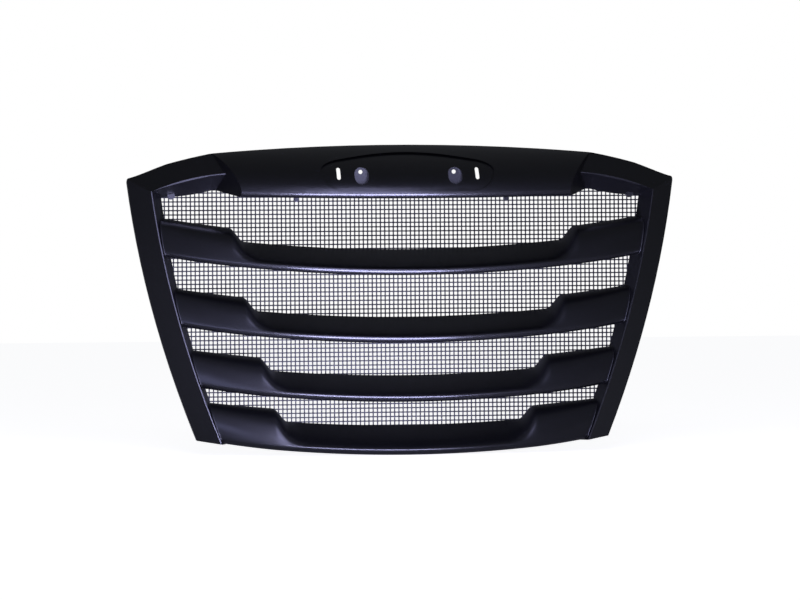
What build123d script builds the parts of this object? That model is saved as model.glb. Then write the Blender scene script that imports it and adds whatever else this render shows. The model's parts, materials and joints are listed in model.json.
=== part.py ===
from build123d import *
import os
from math import ceil, floor, hypot

# Front grille of a heavy truck: a moulded surround, four bowed louvers and a bug screen.
# Millimetres. +X is to the right seen from the front, -Y is the front and +Z goes up the screen.
# The origin is the centre of the four hood bolts, on the plane where the brackets meet the hood.

# ---- Surround: outline seen from the front -------------------------------------------------
HALF_WIDTH_TOP = 733.0  # half width at the height of the upper corners
HALF_WIDTH_MID = 671.7  # half width at the origin's height
HALF_WIDTH_FOOT = 552.0  # half width at the feet
CORNER_Z = 330.5  # height of the upper corners
FOOT_Z = -368.0  # height of the feet at the outside
FOOT_SLOPE = 0.14  # the feet reach lower towards the middle
ARCH_Z = 413.4  # height of the header's crown
SHOULDER_X = 509.0  # where the arch ends and the shoulder falls to the corner
SHOULDER_Z = 391.8
SHOULDER_FALL = 0.19  # slope at which the shoulder starts
CORNER_R = 20.0

# ---- Surround: section ---------------------------------------------------------------------
WALL = 3.0
REAR_Y = -12.0  # rear rim of the surround
SCREEN_Y = -40.0  # front face of the bug screen; depths are measured forward from here
SKIRT_DEPTH = 15.0  # depth of the outer edge
RIDGE_DEPTH = 60.0  # depth of the ridge along the rails
RIDGE_IN = 57.0  # distance from the outer edge to the ridge
RIDGE_LAND = 2.5  # width of the flat along the ridge
LEDGE_TOP = 29.0  # width of the slanted wall inside the ridge, at the corners
LEDGE_FOOT = 16.0  # the same at the feet
OPENING_Z = 294.0  # upper edge of the opening behind the raised header
OPENING_DROP = 17.0  # how much lower the edge is at the opening's corners
OPENING_CORNER_X = 642.0
FLANGE = 24.0  # width of the flange that the screen lies on
ROOF_STATIONS = 6
PASS = 30.0  # how far the opening's cutting shape runs out in front of the ridge

# ---- Header: the raised middle -------------------------------------------------------------
PLAN_RADIUS = 1700.0  # bow of the header and the louvers, seen from above
HEADER_NOSE = 175.0  # depth of the nose at the middle
HEADER_LIP_Z = 267.8
HEADER_LIP_RISE = 3.8e-5  # the lip rises with the square of x
HEADER_LIP_R = 16.0
HEADER_TOP_PULL = (0.34, 0.10)  # how far the face keeps level at its top, and how far it drops
HEADER_FACE_PULL = 0.47  # how far it keeps upright above the lip
HEADER_END_TOP = 507.0  # half width of the raised middle at its top
HEADER_END_LIP = 462.0  # the same at its lip, on the shoulder
HEADER_END_DRAFT = 26.0  # how far the end wall leans in from the shoulder to the nose
HEADER_OVER = 1.0  # how far the header's shape runs into the outline and over the opening's edge
HEADER_REACH = 540.0
HEADER_STATIONS = 8
RIB = 2.5
RIB_BACK = 32.0  # the ribs stop this far in front of the rear rim
RIB_X = (66.0, 215.0, 310.0, 400.0)

# ---- Badge recess --------------------------------------------------------------------------
RECESS_DEPTH = 4.0
RECESS_HALF = 229.0
RECESS_TOP_Z = 392.0
RECESS_BOTTOM_Z = 287.0
RECESS_SHOULDER_Z = 371.0
RECESS_SHOULDER_X = 188.0
RECESS_CORNER_R = 56.0
RECESS_SHOULDER_DROP = 5.0
RECESS_TOP_PULL = (0.7, 0.4)  # shape of the recess's arched top
BADGE_SPACING = 247.4
BADGE_HOLE_R = 5.5
BADGE_HOLE_Z = 338.7
BOWL_R = 18.5
BOWL_Z = 328.0
BOWL_HEIGHT = 45.0
BOWL_FLOOR = 122.0  # depth of the bowls' floors in front of the screen
SLOT_SPACING = 366.8
SLOT_Z = 333.7
SLOT_LENGTH = 32.0
SLOT_WIDTH = 10.0

# ---- Louvers: (lip height at the middle, blade height, where the tall end block starts) -----
LOUVERS = [
    (66.7, 69.0, 465.0),
    (-111.0, 66.5, 430.0),
    (-266.7, 66.5, 388.0),
    (-407.0, 74.0, 351.0),
]
END_NOSE = 52.0  # depth of every louver's nose where it meets the rail
LOUVER_ARC = 1.25e-4  # rise of the louvers towards their ends
END_STEP = 33.0  # how much higher the end block stands than the blade
STEP_RUN = 42.0  # length over which the top edge steps
SCOOP_RUN = 82.0  # length over which the blade's scoop fills up
SCOOP_TOP = (0.30, 0.20)  # the scooped blade's crest: how far level, and how far it drops
BLOCK_TOP = (0.82, 0.0)  # the same for the end blocks
SCOOP_FACE = 0.22  # how far the scooped blade keeps upright above the lip
BLOCK_FACE = 0.65  # the same for the end blocks
ROUND_PULL = 0.45  # shape of the rounded lips
LIP_R = 14.0
UNDER_SLOPE = 0.26
BLADE_REAR = 27.0  # thickness of the blade at its back
BLEND_DEPTH = 8.0  # depth at which the louver's face starts to curve down
LOUVER_REAR = 3.0  # depth of the louver's rear edges, which is the back bar's thickness
END_GAP = 1.6  # clearance between a louver's end and the rail
OVERRUN = 40.0  # how far a louver's shape runs out past the rail before it is trimmed

# ---- Bug screen ----------------------------------------------------------------------------
PITCH = 11.5
STRAND = 3.6
LAYER = 1.5
RIM = 11.0
SCREEN_OVERLAP = 19.0  # how far the screen reaches behind the surround
SCREEN_BOTTOM_Z = -353.0

# ---- Screws, bars and brackets -------------------------------------------------------------
BAR_HEIGHT = 22.0
BAR_END = 26.0  # the back bars stop this far from the rail
BAR_SCREWS = (10.5, 26.5, 0.86)  # two places in screen pitches, and one as a share of the length
BOSS_R = 6.5
BOSS_DEPTH = 14.0
SCREW_R = 2.4
HEAD_R = 5.0
HEAD_H = 3.2
SCREW_LENGTH = 13.0
WASHER_R = 8.0
WASHER_T = 1.2
TAB_SCREWS = [(24.5, 23.5, 7.0), (53.5, 24.5, 11.0)]  # x and z in screen pitches, tab radius
RIM_SCREW_Z = (200.0, 20.0, -150.0, -320.0)
END_SCREW_DEPTH = 0.36  # place of the end screws, as a share of the rail's slanted wall
END_SCREW_DZ = 20.0
END_BLOCK = 12.0  # length of the bosses that take the end screws
HOOD_BOLT_X = 1050.0  # spacing of the four hood bolts
HOOD_BOLT_Z = 676.0
HOOD_HOLE_R = 4.5
PLATE = 3.0
BRACKET_HALF = 40.0  # from the hood bolt to the upper brackets' feet
BRACKET_HALF_LOW = 21.0  # the same for the lower brackets, which stand upright
BRACKET_FOOT = 9.0
BRACKET_CROWN = 12.0
BRACKET_WIDTH = 26.0
SIDE_X = 632.0
SIDE_SLOT = (16.0, 7.0)
BUMPER_X = 668.0
BUMPER_Z = 300.0
BUMPER_R = 9.0
BUMPER_STEM_R = 3.0
BUMPER_STEM = 8.0
SEAL_R = 5.0
SEAL_WALL = 1.5
SEAL_X = 450.0

REAR_OPEN = 40.0  # how far the hollow tools run out behind the part
BELOW = 120.0  # how far the shapes run out under the feet before they are cut
FAR = 700.0


# ---- Outline and section formulas ----------------------------------------------------------
def parabola(z0, x0, z1, x1, z2, x2):
    """Coefficients (a, b, c) of x = a + b z + c z^2 through three points."""
    c = ((x2 - x0) / (z2 - z0) - (x1 - x0) / (z1 - z0)) / (z2 - z1)
    b = (x1 - x0) / (z1 - z0) - c * (z1 + z0)
    return x0 - b * z0 - c * z0 * z0, b, c


RAIL_A, RAIL_B, RAIL_C = parabola(CORNER_Z, HALF_WIDTH_TOP, 0.0, HALF_WIDTH_MID, FOOT_Z, HALF_WIDTH_FOOT)


def rail_x(z):
    """Half width of the surround's outer edge at height z."""
    return RAIL_A + RAIL_B * z + RAIL_C * z * z


def ledge(z):
    """Width of the slanted inner wall at height z."""
    return LEDGE_TOP + (LEDGE_FOOT - LEDGE_TOP) * (CORNER_Z - z) / (CORNER_Z - FOOT_Z)


def opening_x(z):
    """Half width of the opening at the screen's plane."""
    return rail_x(z) - RIDGE_IN - ledge(z)


def top_z(x):
    """Height of the surround's top edge."""
    away = abs(x)
    if away <= SHOULDER_X:
        return ARCH_Z - (ARCH_Z - SHOULDER_Z) * (away / SHOULDER_X) ** 2
    run = HALF_WIDTH_TOP - SHOULDER_X
    bend = (SHOULDER_Z - CORNER_Z - SHOULDER_FALL * run) / run**2
    return SHOULDER_Z - SHOULDER_FALL * (away - SHOULDER_X) - bend * (away - SHOULDER_X) ** 2


def opening_z(x):
    """Height of the opening's upper edge at the screen's plane."""
    share = (abs(x) - SHOULDER_X) / (OPENING_CORNER_X - SHOULDER_X)
    share = min(1.0, max(0.0, share))
    return OPENING_Z - OPENING_DROP * (1 - (1 - share) ** 2)


def smooth(t):
    """0 below 0, 1 above 1, and a smooth step between."""
    t = min(1.0, max(0.0, t))
    return t * t * (3 - 2 * t)


def bow(x):
    """How far a nose falls back from its depth at the middle."""
    return x * x / (2 * PLAN_RADIUS)


def on_pitch(value):
    """The middle of the screen hole nearest to a coordinate."""
    return (floor(value / PITCH) + 0.5) * PITCH


# ---- Surround volumes ----------------------------------------------------------------------
def outline_corner(inset):
    """The upper corner (x, z) of the outline, drawn in by inset."""
    z = CORNER_Z
    for _ in range(6):
        z = top_z(rail_x(z) - inset) - inset
    return rail_x(z) - inset, z


def outline_prism(inset):
    """The surround's outline, extruded along Y from behind the part to in front of it."""
    low_z = FOOT_Z - BELOW
    corner_x, corner_z = outline_corner(inset)
    mid_x = (SHOULDER_X + corner_x) / 2
    arch = [(n * SHOULDER_X / 2, top_z(n * SHOULDER_X / 2) - inset) for n in (-2, -1, 0, 1, 2)]
    heights = (corner_z, 0, FOOT_Z, low_z)
    with BuildPart() as prism:
        with BuildSketch(Plane.XZ.offset(-REAR_OPEN)):
            with BuildLine():
                Spline(*arch)
                for side in (1, -1):
                    Spline(
                        (side * SHOULDER_X, SHOULDER_Z - inset), (side * mid_x, top_z(mid_x) - inset),
                        (side * corner_x, corner_z),
                    )
                    Spline(*[(side * (rail_x(z) - inset), z) for z in heights])
                Line((inset - rail_x(low_z), low_z), (rail_x(low_z) - inset, low_z))
            face = make_face()
            fillet(face.vertices().filter_by(lambda v: abs(v.X) > corner_x - 1), CORNER_R - inset)
        extrude(amount=FAR)
    return prism.part


def side_roof(inset, rear):
    """Everything under the rails' sloping faces, from one side to the other."""
    low = SCREEN_Y - SKIRT_DEPTH + inset
    high = SCREEN_Y - RIDGE_DEPTH + inset
    with BuildPart() as roof:
        for z in (FOOT_Z - BELOW / 2, FOOT_Z / 2, 0, CORNER_Z / 2, CORNER_Z, ARCH_Z + OVERRUN):
            edge = rail_x(z) - inset
            with BuildSketch(Plane.XY.offset(z)):
                with BuildLine():
                    Polyline(
                        (-edge, rear), (-edge, low), (-edge + RIDGE_IN, high),
                        (edge - RIDGE_IN, high), (edge, low), (edge, rear), close=True,
                    )
                make_face()
        loft()
    return roof.part


def top_roof(inset, rear):
    """Everything under the header band's sloping face."""
    floor_z = FOOT_Z - BELOW / 2
    low = SCREEN_Y - SKIRT_DEPTH + inset
    high = SCREEN_Y - RIDGE_DEPTH + inset
    reach = HALF_WIDTH_TOP + OVERRUN / 2
    with BuildPart() as roof:
        for n in range(-ROOF_STATIONS, ROOF_STATIONS + 1):
            x = reach * n / ROOF_STATIONS
            edge = top_z(x) - inset
            with BuildSketch(Plane.YZ.offset(x)):
                with BuildLine():
                    Polyline(
                        (rear, edge), (low, edge), (high, edge - RIDGE_IN),
                        (high, floor_z), (rear, floor_z), close=True,
                    )
                make_face()
        loft()
    return roof.part


def between_rails(inset):
    """The space between the rails, which widens from the screen's plane to the ridge."""
    front = SCREEN_Y - RIDGE_DEPTH - PASS
    with BuildPart() as space:
        for z in (FOOT_Z - BELOW, FOOT_Z / 2, 0, CORNER_Z / 2, CORNER_Z + OVERRUN):
            narrow = opening_x(z) + inset
            wide = narrow + (ledge(z) - RIDGE_LAND) * (1 + PASS / RIDGE_DEPTH)
            with BuildSketch(Plane.XY.offset(z)):
                with BuildLine():
                    Polyline(
                        (-narrow, REAR_OPEN), (-narrow, SCREEN_Y), (-wide, front),
                        (wide, front), (narrow, SCREEN_Y), (narrow, REAR_OPEN), close=True,
                    )
                make_face()
        loft()
    return space.part


def under_header(inset):
    """The space under the header, which widens upward from the screen's plane to the ridge."""
    front = SCREEN_Y - RIDGE_DEPTH - PASS
    floor_z = FOOT_Z - BELOW
    shoulder = (OPENING_CORNER_X - SHOULDER_X) / 4
    ends = HALF_WIDTH_TOP + OVERRUN / 2
    left = [-ends, -OPENING_CORNER_X]
    fall = [-SHOULDER_X - n * shoulder for n in (4, 3, 2, 1, 0)]
    zones = [left, fall, [-SHOULDER_X, 0, SHOULDER_X], [-x for x in reversed(fall)], [OPENING_CORNER_X, ends]]
    with BuildPart() as space:
        for zone in zones:
            for x in zone:
                low = opening_z(x) + inset
                rise = top_z(x) - RIDGE_IN - RIDGE_LAND - opening_z(x)
                high = low + rise * (1 + PASS / RIDGE_DEPTH)
                with BuildSketch(Plane.YZ.offset(x)):
                    with BuildLine():
                        Polyline(
                            (REAR_OPEN, low), (SCREEN_Y, low), (front, high),
                            (front, floor_z), (REAR_OPEN, floor_z), close=True,
                        )
                    make_face()
            loft()
    return space.part


def opening_volume(inset):
    """The opening that the screen and the louvers fill."""
    with BuildPart() as opening:
        add(between_rails(inset))
        add(under_header(inset), mode=Mode.INTERSECT)
    return opening.part


def header_section(x, inset, rear):
    """The raised header's outline on the plane across it at x."""
    nose = SCREEN_Y - (HEADER_NOSE - bow(x)) + inset
    lip = HEADER_LIP_Z + HEADER_LIP_RISE * x * x + inset
    radius = HEADER_LIP_R - inset / 2
    crest = top_z(x) - inset + HEADER_OVER
    start = SCREEN_Y - SKIRT_DEPTH + inset
    under = OPENING_Z + inset + HEADER_OVER
    fall = crest - lip - radius
    pull, drop = HEADER_TOP_PULL
    with BuildSketch(Plane.YZ.offset(x)) as section:
        with BuildLine():
            Line((rear, crest), (start, crest))
            Bezier(
                (start, crest), (start - pull * (start - nose), crest - drop * fall),
                (nose, lip + radius + HEADER_FACE_PULL * fall), (nose, lip + radius),
            )
            Bezier(
                (nose, lip + radius), (nose, lip + ROUND_PULL * radius),
                (nose + (1 - ROUND_PULL) * radius, lip), (nose + radius, lip),
            )
            Polyline((nose + radius, lip), (SCREEN_Y, under), (rear, under), (rear, crest))
        make_face()
    return section.sketch


def header_end(side, inset):
    """The plane of a leaning end wall of the raised header; its normal points outward."""
    on_top = Vector(side * (HEADER_END_TOP - inset), SCREEN_Y - SKIRT_DEPTH, top_z(HEADER_END_TOP))
    at_lip = Vector(side * (HEADER_END_LIP - inset), SCREEN_Y - RIDGE_DEPTH, HEADER_LIP_Z)
    lean = HEADER_NOSE - bow(HEADER_END_LIP) - RIDGE_DEPTH
    at_nose = at_lip + Vector(-side * HEADER_END_DRAFT, -lean, 0)
    normal = (at_lip - on_top).cross(at_nose - on_top).normalized()
    return Plane(origin=on_top, z_dir=normal if normal.X * side > 0 else normal * -1)


def header_volume(inset, rear):
    """The raised middle of the header, bowed in plan, with leaning end walls."""
    step = 2 * HEADER_REACH / HEADER_STATIONS
    with BuildPart() as header:
        places = [n * step - HEADER_REACH for n in range(HEADER_STATIONS + 1)]
        loft(sections=[header_section(x, inset, rear) for x in places])
        split(bisect_by=header_end(1, inset), keep=Keep.BOTTOM)
        split(bisect_by=header_end(-1, inset), keep=Keep.BOTTOM)
        add(outline_prism(inset), mode=Mode.INTERSECT)
    return header.part


def below_feet(inset):
    """Everything under the feet, whose undersides slope down towards the middle."""
    far_z = FOOT_Z - 2 * BELOW
    mid_x = opening_x(FOOT_Z) - OVERRUN
    low_z = FOOT_Z - FOOT_SLOPE * (HALF_WIDTH_FOOT - mid_x) + inset
    end_z = FOOT_Z + FOOT_SLOPE * (HALF_WIDTH_TOP - HALF_WIDTH_FOOT) + inset
    with BuildPart() as block:
        with BuildSketch(Plane.XZ.offset(-REAR_OPEN)):
            with BuildLine():
                Polyline(
                    (-HALF_WIDTH_TOP, far_z), (-HALF_WIDTH_TOP, end_z), (-mid_x, low_z),
                    (mid_x, low_z), (HALF_WIDTH_TOP, end_z), (HALF_WIDTH_TOP, far_z), close=True,
                )
            make_face()
        extrude(amount=FAR)
    return block.part


def surround_volume(inset, rear):
    """The surround as a closed block with no hollow, drawn in by inset."""
    with BuildPart() as block:
        add(outline_prism(inset))
        add(side_roof(inset, rear), mode=Mode.INTERSECT)
        add(top_roof(inset, rear), mode=Mode.INTERSECT)
        add(opening_volume(inset), mode=Mode.SUBTRACT)
        add(header_volume(inset, rear))
        add(below_feet(inset), mode=Mode.SUBTRACT)
    return block.part


def opening_corner(grow):
    """The upper corner (x, z) of the opening's outline, grown outward."""
    z = OPENING_Z
    for _ in range(6):
        z = opening_z(opening_x(z)) + grow
    return opening_x(z) + grow, z


def opening_sheet(grow, y, thickness, floor_z):
    """A flat plate of the opening's shape, grown outward, from y forward."""
    corner_x, corner_z = opening_corner(grow)
    bend_x = (corner_x + SHOULDER_X) / 2
    middle_z = (corner_z + floor_z) / 2
    with BuildPart() as sheet:
        with BuildSketch(Plane.XZ.offset(-y)):
            with BuildLine():
                Line((-SHOULDER_X, OPENING_Z + grow), (SHOULDER_X, OPENING_Z + grow))
                for side in (1, -1):
                    Spline(
                        (side * SHOULDER_X, OPENING_Z + grow), (side * bend_x, opening_z(bend_x) + grow),
                        (side * corner_x, corner_z),
                    )
                    Spline(
                        (side * corner_x, corner_z), (side * (opening_x(middle_z) + grow), middle_z),
                        (side * (opening_x(floor_z) + grow), floor_z),
                    )
                Line((-opening_x(floor_z) - grow, floor_z), (opening_x(floor_z) + grow, floor_z))
            make_face()
        extrude(amount=thickness)
    return sheet.part


def recess_prism(grow):
    """The badge recess's outline, extruded along Y: a flat foot, round corners and an arched top."""
    foot_x = RECESS_HALF - RECESS_CORNER_R
    half = RECESS_HALF + grow
    foot_z = RECESS_BOTTOM_Z - grow
    middle_z = RECESS_BOTTOM_Z + RECESS_CORNER_R
    shoulder_z = RECESS_SHOULDER_Z + grow
    with BuildPart() as prism:
        with BuildSketch(Plane.XZ.offset(RIDGE_DEPTH - SCREEN_Y)):
            with BuildLine():
                Line((-foot_x, foot_z), (foot_x, foot_z))
                for side in (1, -1):
                    radius = -side * (RECESS_CORNER_R + grow)
                    RadiusArc((side * foot_x, foot_z), (side * half, middle_z), radius)
                    Bezier(
                        (side * half, middle_z), (side * half, (middle_z + shoulder_z) / 2),
                        (side * (RECESS_SHOULDER_X + half) / 2, shoulder_z - RECESS_SHOULDER_DROP),
                        (side * RECESS_SHOULDER_X, shoulder_z),
                    )
                    Bezier(
                        (side * RECESS_SHOULDER_X, shoulder_z),
                        (side * RECESS_SHOULDER_X * RECESS_TOP_PULL[0], shoulder_z + 2 * RECESS_SHOULDER_DROP),
                        (side * RECESS_SHOULDER_X * RECESS_TOP_PULL[1], RECESS_TOP_Z + grow),
                        (0, RECESS_TOP_Z + grow),
                    )
            make_face()
        extrude(amount=FAR)
    return prism.part


def tube(x, z, radius, from_y, to_y):
    """An upright-drawn cylinder along Y, from from_y forward to to_y."""
    with BuildPart() as round_bar:
        with BuildSketch(Plane.XZ.offset(-from_y)):
            with Locations((x, z)):
                Circle(radius)
        extrude(amount=from_y - to_y)
    return round_bar.part


def rail_wall(side, z, out):
    """A plane on a rail's slanted wall at height z, out mm from it; its normal points to the middle."""
    mouth = Vector(side * (rail_x(z) - RIDGE_IN - RIDGE_LAND), SCREEN_Y - RIDGE_DEPTH, z)
    throat = Vector(side * opening_x(z), SCREEN_Y, z)
    up = Vector(side * (rail_x(z + PITCH) - rail_x(z - PITCH)), 0, 2 * PITCH)
    normal = (mouth - throat).cross(up).normalized()
    if normal.X * side > 0:
        normal = normal * -1
    seat = throat + (mouth - throat) * END_SCREW_DEPTH
    return Plane(origin=seat + normal * out, x_dir=(mouth - throat).normalized(), z_dir=normal)


# ---- Louver volumes ------------------------------------------------------------------------
def louver_end_z(spec):
    """Height of the middle of a louver's end face."""
    reach = rail_x(spec[0]) - RIDGE_IN
    return spec[0] + LOUVER_ARC * reach**2 + (spec[1] + END_STEP) / 2


def louver_end(spec):
    """Half length of a louver at its nose, where it meets the rail's slanted wall."""
    z = louver_end_z(spec)
    return opening_x(z) + (ledge(z) - RIDGE_LAND) * END_NOSE / RIDGE_DEPTH


def louver_section(spec, x, inset, rear):
    """A louver's outline on the plane across it at x."""
    lip_middle, height, block_x = spec
    full = smooth((abs(x) - block_x + SCOOP_RUN) / SCOOP_RUN)
    raised = END_STEP * smooth((abs(x) - block_x + STEP_RUN) / STEP_RUN)
    blade_top = lip_middle + LOUVER_ARC * x * x + height
    lip = blade_top - height + inset
    crest = blade_top + raised - inset
    nose = SCREEN_Y - (END_NOSE + bow(louver_end(spec)) - bow(x)) + inset
    start = SCREEN_Y - BLEND_DEPTH
    radius = LIP_R - inset / 2
    fall = crest - lip - radius
    under = min(blade_top - BLADE_REAR + inset, lip + UNDER_SLOPE * (start - nose - LIP_R))
    top_pull = SCOOP_TOP[0] + (BLOCK_TOP[0] - SCOOP_TOP[0]) * full
    top_drop = SCOOP_TOP[1] + (BLOCK_TOP[1] - SCOOP_TOP[1]) * full
    face_pull = SCOOP_FACE + (BLOCK_FACE - SCOOP_FACE) * full
    with BuildSketch(Plane.YZ.offset(x)) as section:
        with BuildLine():
            Line((rear, crest), (start, crest))
            Bezier(
                (start, crest), (start - top_pull * (start - nose), crest - top_drop * fall),
                (nose, lip + radius + face_pull * fall), (nose, lip + radius),
            )
            Bezier(
                (nose, lip + radius), (nose, lip + ROUND_PULL * radius),
                (nose + (1 - ROUND_PULL) * radius, lip), (nose + radius, lip),
            )
            Polyline((nose + radius, lip), (start, under), (rear, under), (rear, crest))
        make_face()
    return section.sketch


def louver_volume(spec, inset, rear):
    """A louver as a closed block with no hollow, trimmed to fit between the rails."""
    block_x = spec[2]
    scoop_x = block_x - SCOOP_RUN
    reach = louver_end(spec) + OVERRUN
    edges = [-reach, -block_x, -scoop_x, scoop_x, block_x, reach]
    with BuildPart() as louver:
        for low_x, high_x, count in zip(edges, edges[1:], (3, 6, 6, 6, 3)):
            step = (high_x - low_x) / count
            loft(sections=[louver_section(spec, low_x + n * step, inset, rear) for n in range(count + 1)])
        split(bisect_by=rail_wall(1, louver_end_z(spec), END_GAP + inset), keep=Keep.TOP)
        split(bisect_by=rail_wall(-1, louver_end_z(spec), END_GAP + inset), keep=Keep.TOP)
    return louver.part


def bar_z(spec, x):
    """Height of the middle of a louver's back bar at x."""
    return spec[0] + spec[1] - BLADE_REAR / 2 + LOUVER_ARC * x * x


def bar_screws(spec):
    """Places of the screws through the screen and the back bar, each in the middle of a screen hole."""
    near, far, share = BAR_SCREWS
    places = []
    for x in (near * PITCH, far * PITCH, on_pitch(share * (spec[2] - SCOOP_RUN))):
        places += [(x, on_pitch(bar_z(spec, x))), (-x, on_pitch(bar_z(spec, x)))]
    return places


def end_screws(spec):
    """Planes of a louver's end screws, on the rails' slanted walls."""
    heights = [louver_end_z(spec) + dz for dz in (END_SCREW_DZ, -END_SCREW_DZ)]
    return [(side, z) for side in (1, -1) for z in heights]


def louver_bosses(spec, body):
    """The round bosses that take a louver's screws, trimmed to the louver's body."""
    rear = SCREEN_Y - LOUVER_REAR
    with BuildPart() as bosses:
        for x, z in bar_screws(spec):
            add(tube(x, z, BOSS_R, rear, rear - FAR))
        for side, z in end_screws(spec):
            with BuildSketch(rail_wall(side, z, END_GAP)):
                Circle(BOSS_R)
            extrude(amount=END_BLOCK)
        add(body, mode=Mode.INTERSECT)
    return bosses.part


def louver_shell(spec):
    """One louver: an open-backed shell with closed ends, screw bosses and their holes."""
    body = louver_volume(spec, 0, SCREEN_Y - LOUVER_REAR)
    rear = SCREEN_Y - LOUVER_REAR
    with BuildPart() as louver:
        add(body)
        add(louver_volume(spec, WALL, REAR_OPEN), mode=Mode.SUBTRACT)
        add(louver_bosses(spec, body))
        for x, z in bar_screws(spec):
            add(tube(x, z, SCREW_R, rear, rear - BOSS_DEPTH), mode=Mode.SUBTRACT)
        for side, z in end_screws(spec):
            with BuildSketch(rail_wall(side, z, 0)):
                Circle(SCREW_R)
            extrude(amount=END_BLOCK, mode=Mode.SUBTRACT)
    return louver.part


def back_bar_shape(spec):
    """A steel strip that closes a louver's back: a flat bar bowed like the louver's crest."""
    half = opening_x(bar_z(spec, 0)) - BAR_END
    arc = [(x, bar_z(spec, x)) for x in (-half, -half / 2, 0, half / 2, half)]
    with BuildPart() as bar:
        with BuildSketch(Plane.XZ.offset(-SCREEN_Y)):
            with BuildLine():
                Spline(*[(x, z + BAR_HEIGHT / 2) for x, z in arc])
                Line((half, arc[-1][1] + BAR_HEIGHT / 2), (half, arc[-1][1] - BAR_HEIGHT / 2))
                Spline(*[(x, z - BAR_HEIGHT / 2) for x, z in arc])
                Line((-half, arc[0][1] - BAR_HEIGHT / 2), (-half, arc[0][1] + BAR_HEIGHT / 2))
            make_face()
            with Locations(*bar_screws(spec)):
                Circle(SCREW_R, mode=Mode.SUBTRACT)
        extrude(amount=LOUVER_REAR)
    return bar.part


# ---- Screws and brackets -------------------------------------------------------------------
def tab_places():
    """Places and radii of the round tabs that hang below the header, two on each side."""
    return [(side * n * PITCH, m * PITCH, radius) for n, m, radius in TAB_SCREWS for side in (1, -1)]


def rim_places():
    """Places of the screws in the screen's rim, behind the rails."""
    return [(side * (opening_x(z) + SCREEN_OVERLAP - RIM / 2), z) for z in RIM_SCREW_Z for side in (1, -1)]


def bracket_places():
    """Places of the screws that hold the brackets, with the height of the brackets' fronts."""
    x = HOOD_BOLT_X / 2
    z = HOOD_BOLT_Z / 2
    upper = [(side * (x + dx), z) for side in (1, -1) for dx in (BRACKET_HALF, -BRACKET_HALF)]
    lower = [(side * x, dz - z) for side in (1, -1) for dz in (BRACKET_HALF_LOW, -BRACKET_HALF_LOW)]
    sides = [(side * SIDE_X, dz) for side in (1, -1) for dz in (BRACKET_HALF, -BRACKET_HALF)]
    return upper + lower + sides


def hat_bracket(x, z, upright, half, slotted):
    """A pressed hat-shaped bracket: two feet on the bosses and a crown on the hood's plane."""
    plane = Plane(origin=(x, REAR_Y, z), x_dir=(0, 0, 1) if upright else (1, 0, 0), z_dir=(0, 1, 0))
    across = Plane(origin=(x, REAR_Y, z), x_dir=plane.x_dir, z_dir=plane.x_dir.cross(Vector(0, 1, 0)))
    rise = -REAR_Y
    crown = BRACKET_CROWN
    toe = half + BRACKET_FOOT
    heel = half - BRACKET_FOOT
    with BuildPart() as bracket:
        with BuildSketch(across):
            with BuildLine():
                Polyline(
                    (-toe, 0), (-heel, 0), (-crown, rise - PLATE), (crown, rise - PLATE),
                    (heel, 0), (toe, 0), (toe, PLATE), (heel + PLATE / 2, PLATE),
                    (crown + PLATE / 2, rise), (-crown - PLATE / 2, rise),
                    (-heel - PLATE / 2, PLATE), (-toe, PLATE), close=True,
                )
            make_face()
        extrude(amount=BRACKET_WIDTH / 2, both=True)
        with BuildSketch(plane):
            with Locations((half, 0), (-half, 0)):
                Circle(SCREW_R)
            if slotted:
                SlotOverall(*SIDE_SLOT, rotation=90)
            else:
                Circle(HOOD_HOLE_R)
        extrude(amount=rise, mode=Mode.SUBTRACT)
    return bracket.part


def screw(x, z, seat_y, length):
    """A round-headed screw driven forward from its seat."""
    with BuildPart() as fastener:
        add(tube(x, z, SCREW_R, seat_y, seat_y - length))
        add(tube(x, z, HEAD_R, seat_y + HEAD_H, seat_y))
    return fastener.part


def wall_seat(z):
    """Thickness of a rail's slanted wall at height z, across the wall."""
    return WALL * RIDGE_DEPTH / hypot(RIDGE_DEPTH, ledge(z) - RIDGE_LAND)


def end_screw(side, z):
    """A screw from a rail's hollow through its slanted wall into a louver's end."""
    seat = rail_wall(side, z, -wall_seat(z))
    with BuildPart() as fastener:
        with BuildSketch(seat):
            Circle(SCREW_R)
        extrude(amount=wall_seat(z) + END_BLOCK)
        with BuildSketch(seat):
            Circle(HEAD_R)
        extrude(amount=-HEAD_H)
    return fastener.part


def upright_strands():
    """Places, lengths and middles of the screen's upright strands, inside the rim."""
    grow = SCREEN_OVERLAP - RIM
    corner_x = opening_corner(grow)[0]
    found = []
    for n in range(floor((corner_x - STRAND) / PITCH) + 1):
        edge = n * PITCH + STRAND / 2
        low = SCREEN_BOTTOM_Z + RIM
        while opening_x(low) + grow < edge:
            low += STRAND / 4
        high = opening_z(edge) + grow
        found.append((n * PITCH, high - low, (high + low) / 2))
    return found + [(-x, length, middle) for x, length, middle in found[1:]]


def level_strands():
    """Heights and half lengths of the screen's level strands, inside the rim."""
    grow = SCREEN_OVERLAP - RIM
    corner_z = opening_corner(grow)[1]
    found = []
    lowest = ceil((SCREEN_BOTTOM_Z + RIM + STRAND) / PITCH)
    highest = floor((OPENING_Z + grow - STRAND) / PITCH)
    for n in range(lowest, highest + 1):
        z = n * PITCH
        half = opening_x(z - STRAND / 2) + grow
        if z + STRAND / 2 > corner_z:
            left = 1 - (OPENING_Z + grow - z - STRAND / 2) / OPENING_DROP
            half = SHOULDER_X + (1 - left**0.5) * (OPENING_CORNER_X - SHOULDER_X)
        found.append((z, half))
    return found


SCREEN_REAR = SCREEN_Y + 2 * LAYER
END_PLACES = [place for spec in LOUVERS for place in end_screws(spec)]
BAR_PLACES = [place for spec in LOUVERS for place in bar_screws(spec)]
TAB_PLACES = [(x, z) for x, z, _ in tab_places()]
HEADER = header_volume(0, REAR_Y)
BLOCK = surround_volume(0, REAR_Y)

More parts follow.
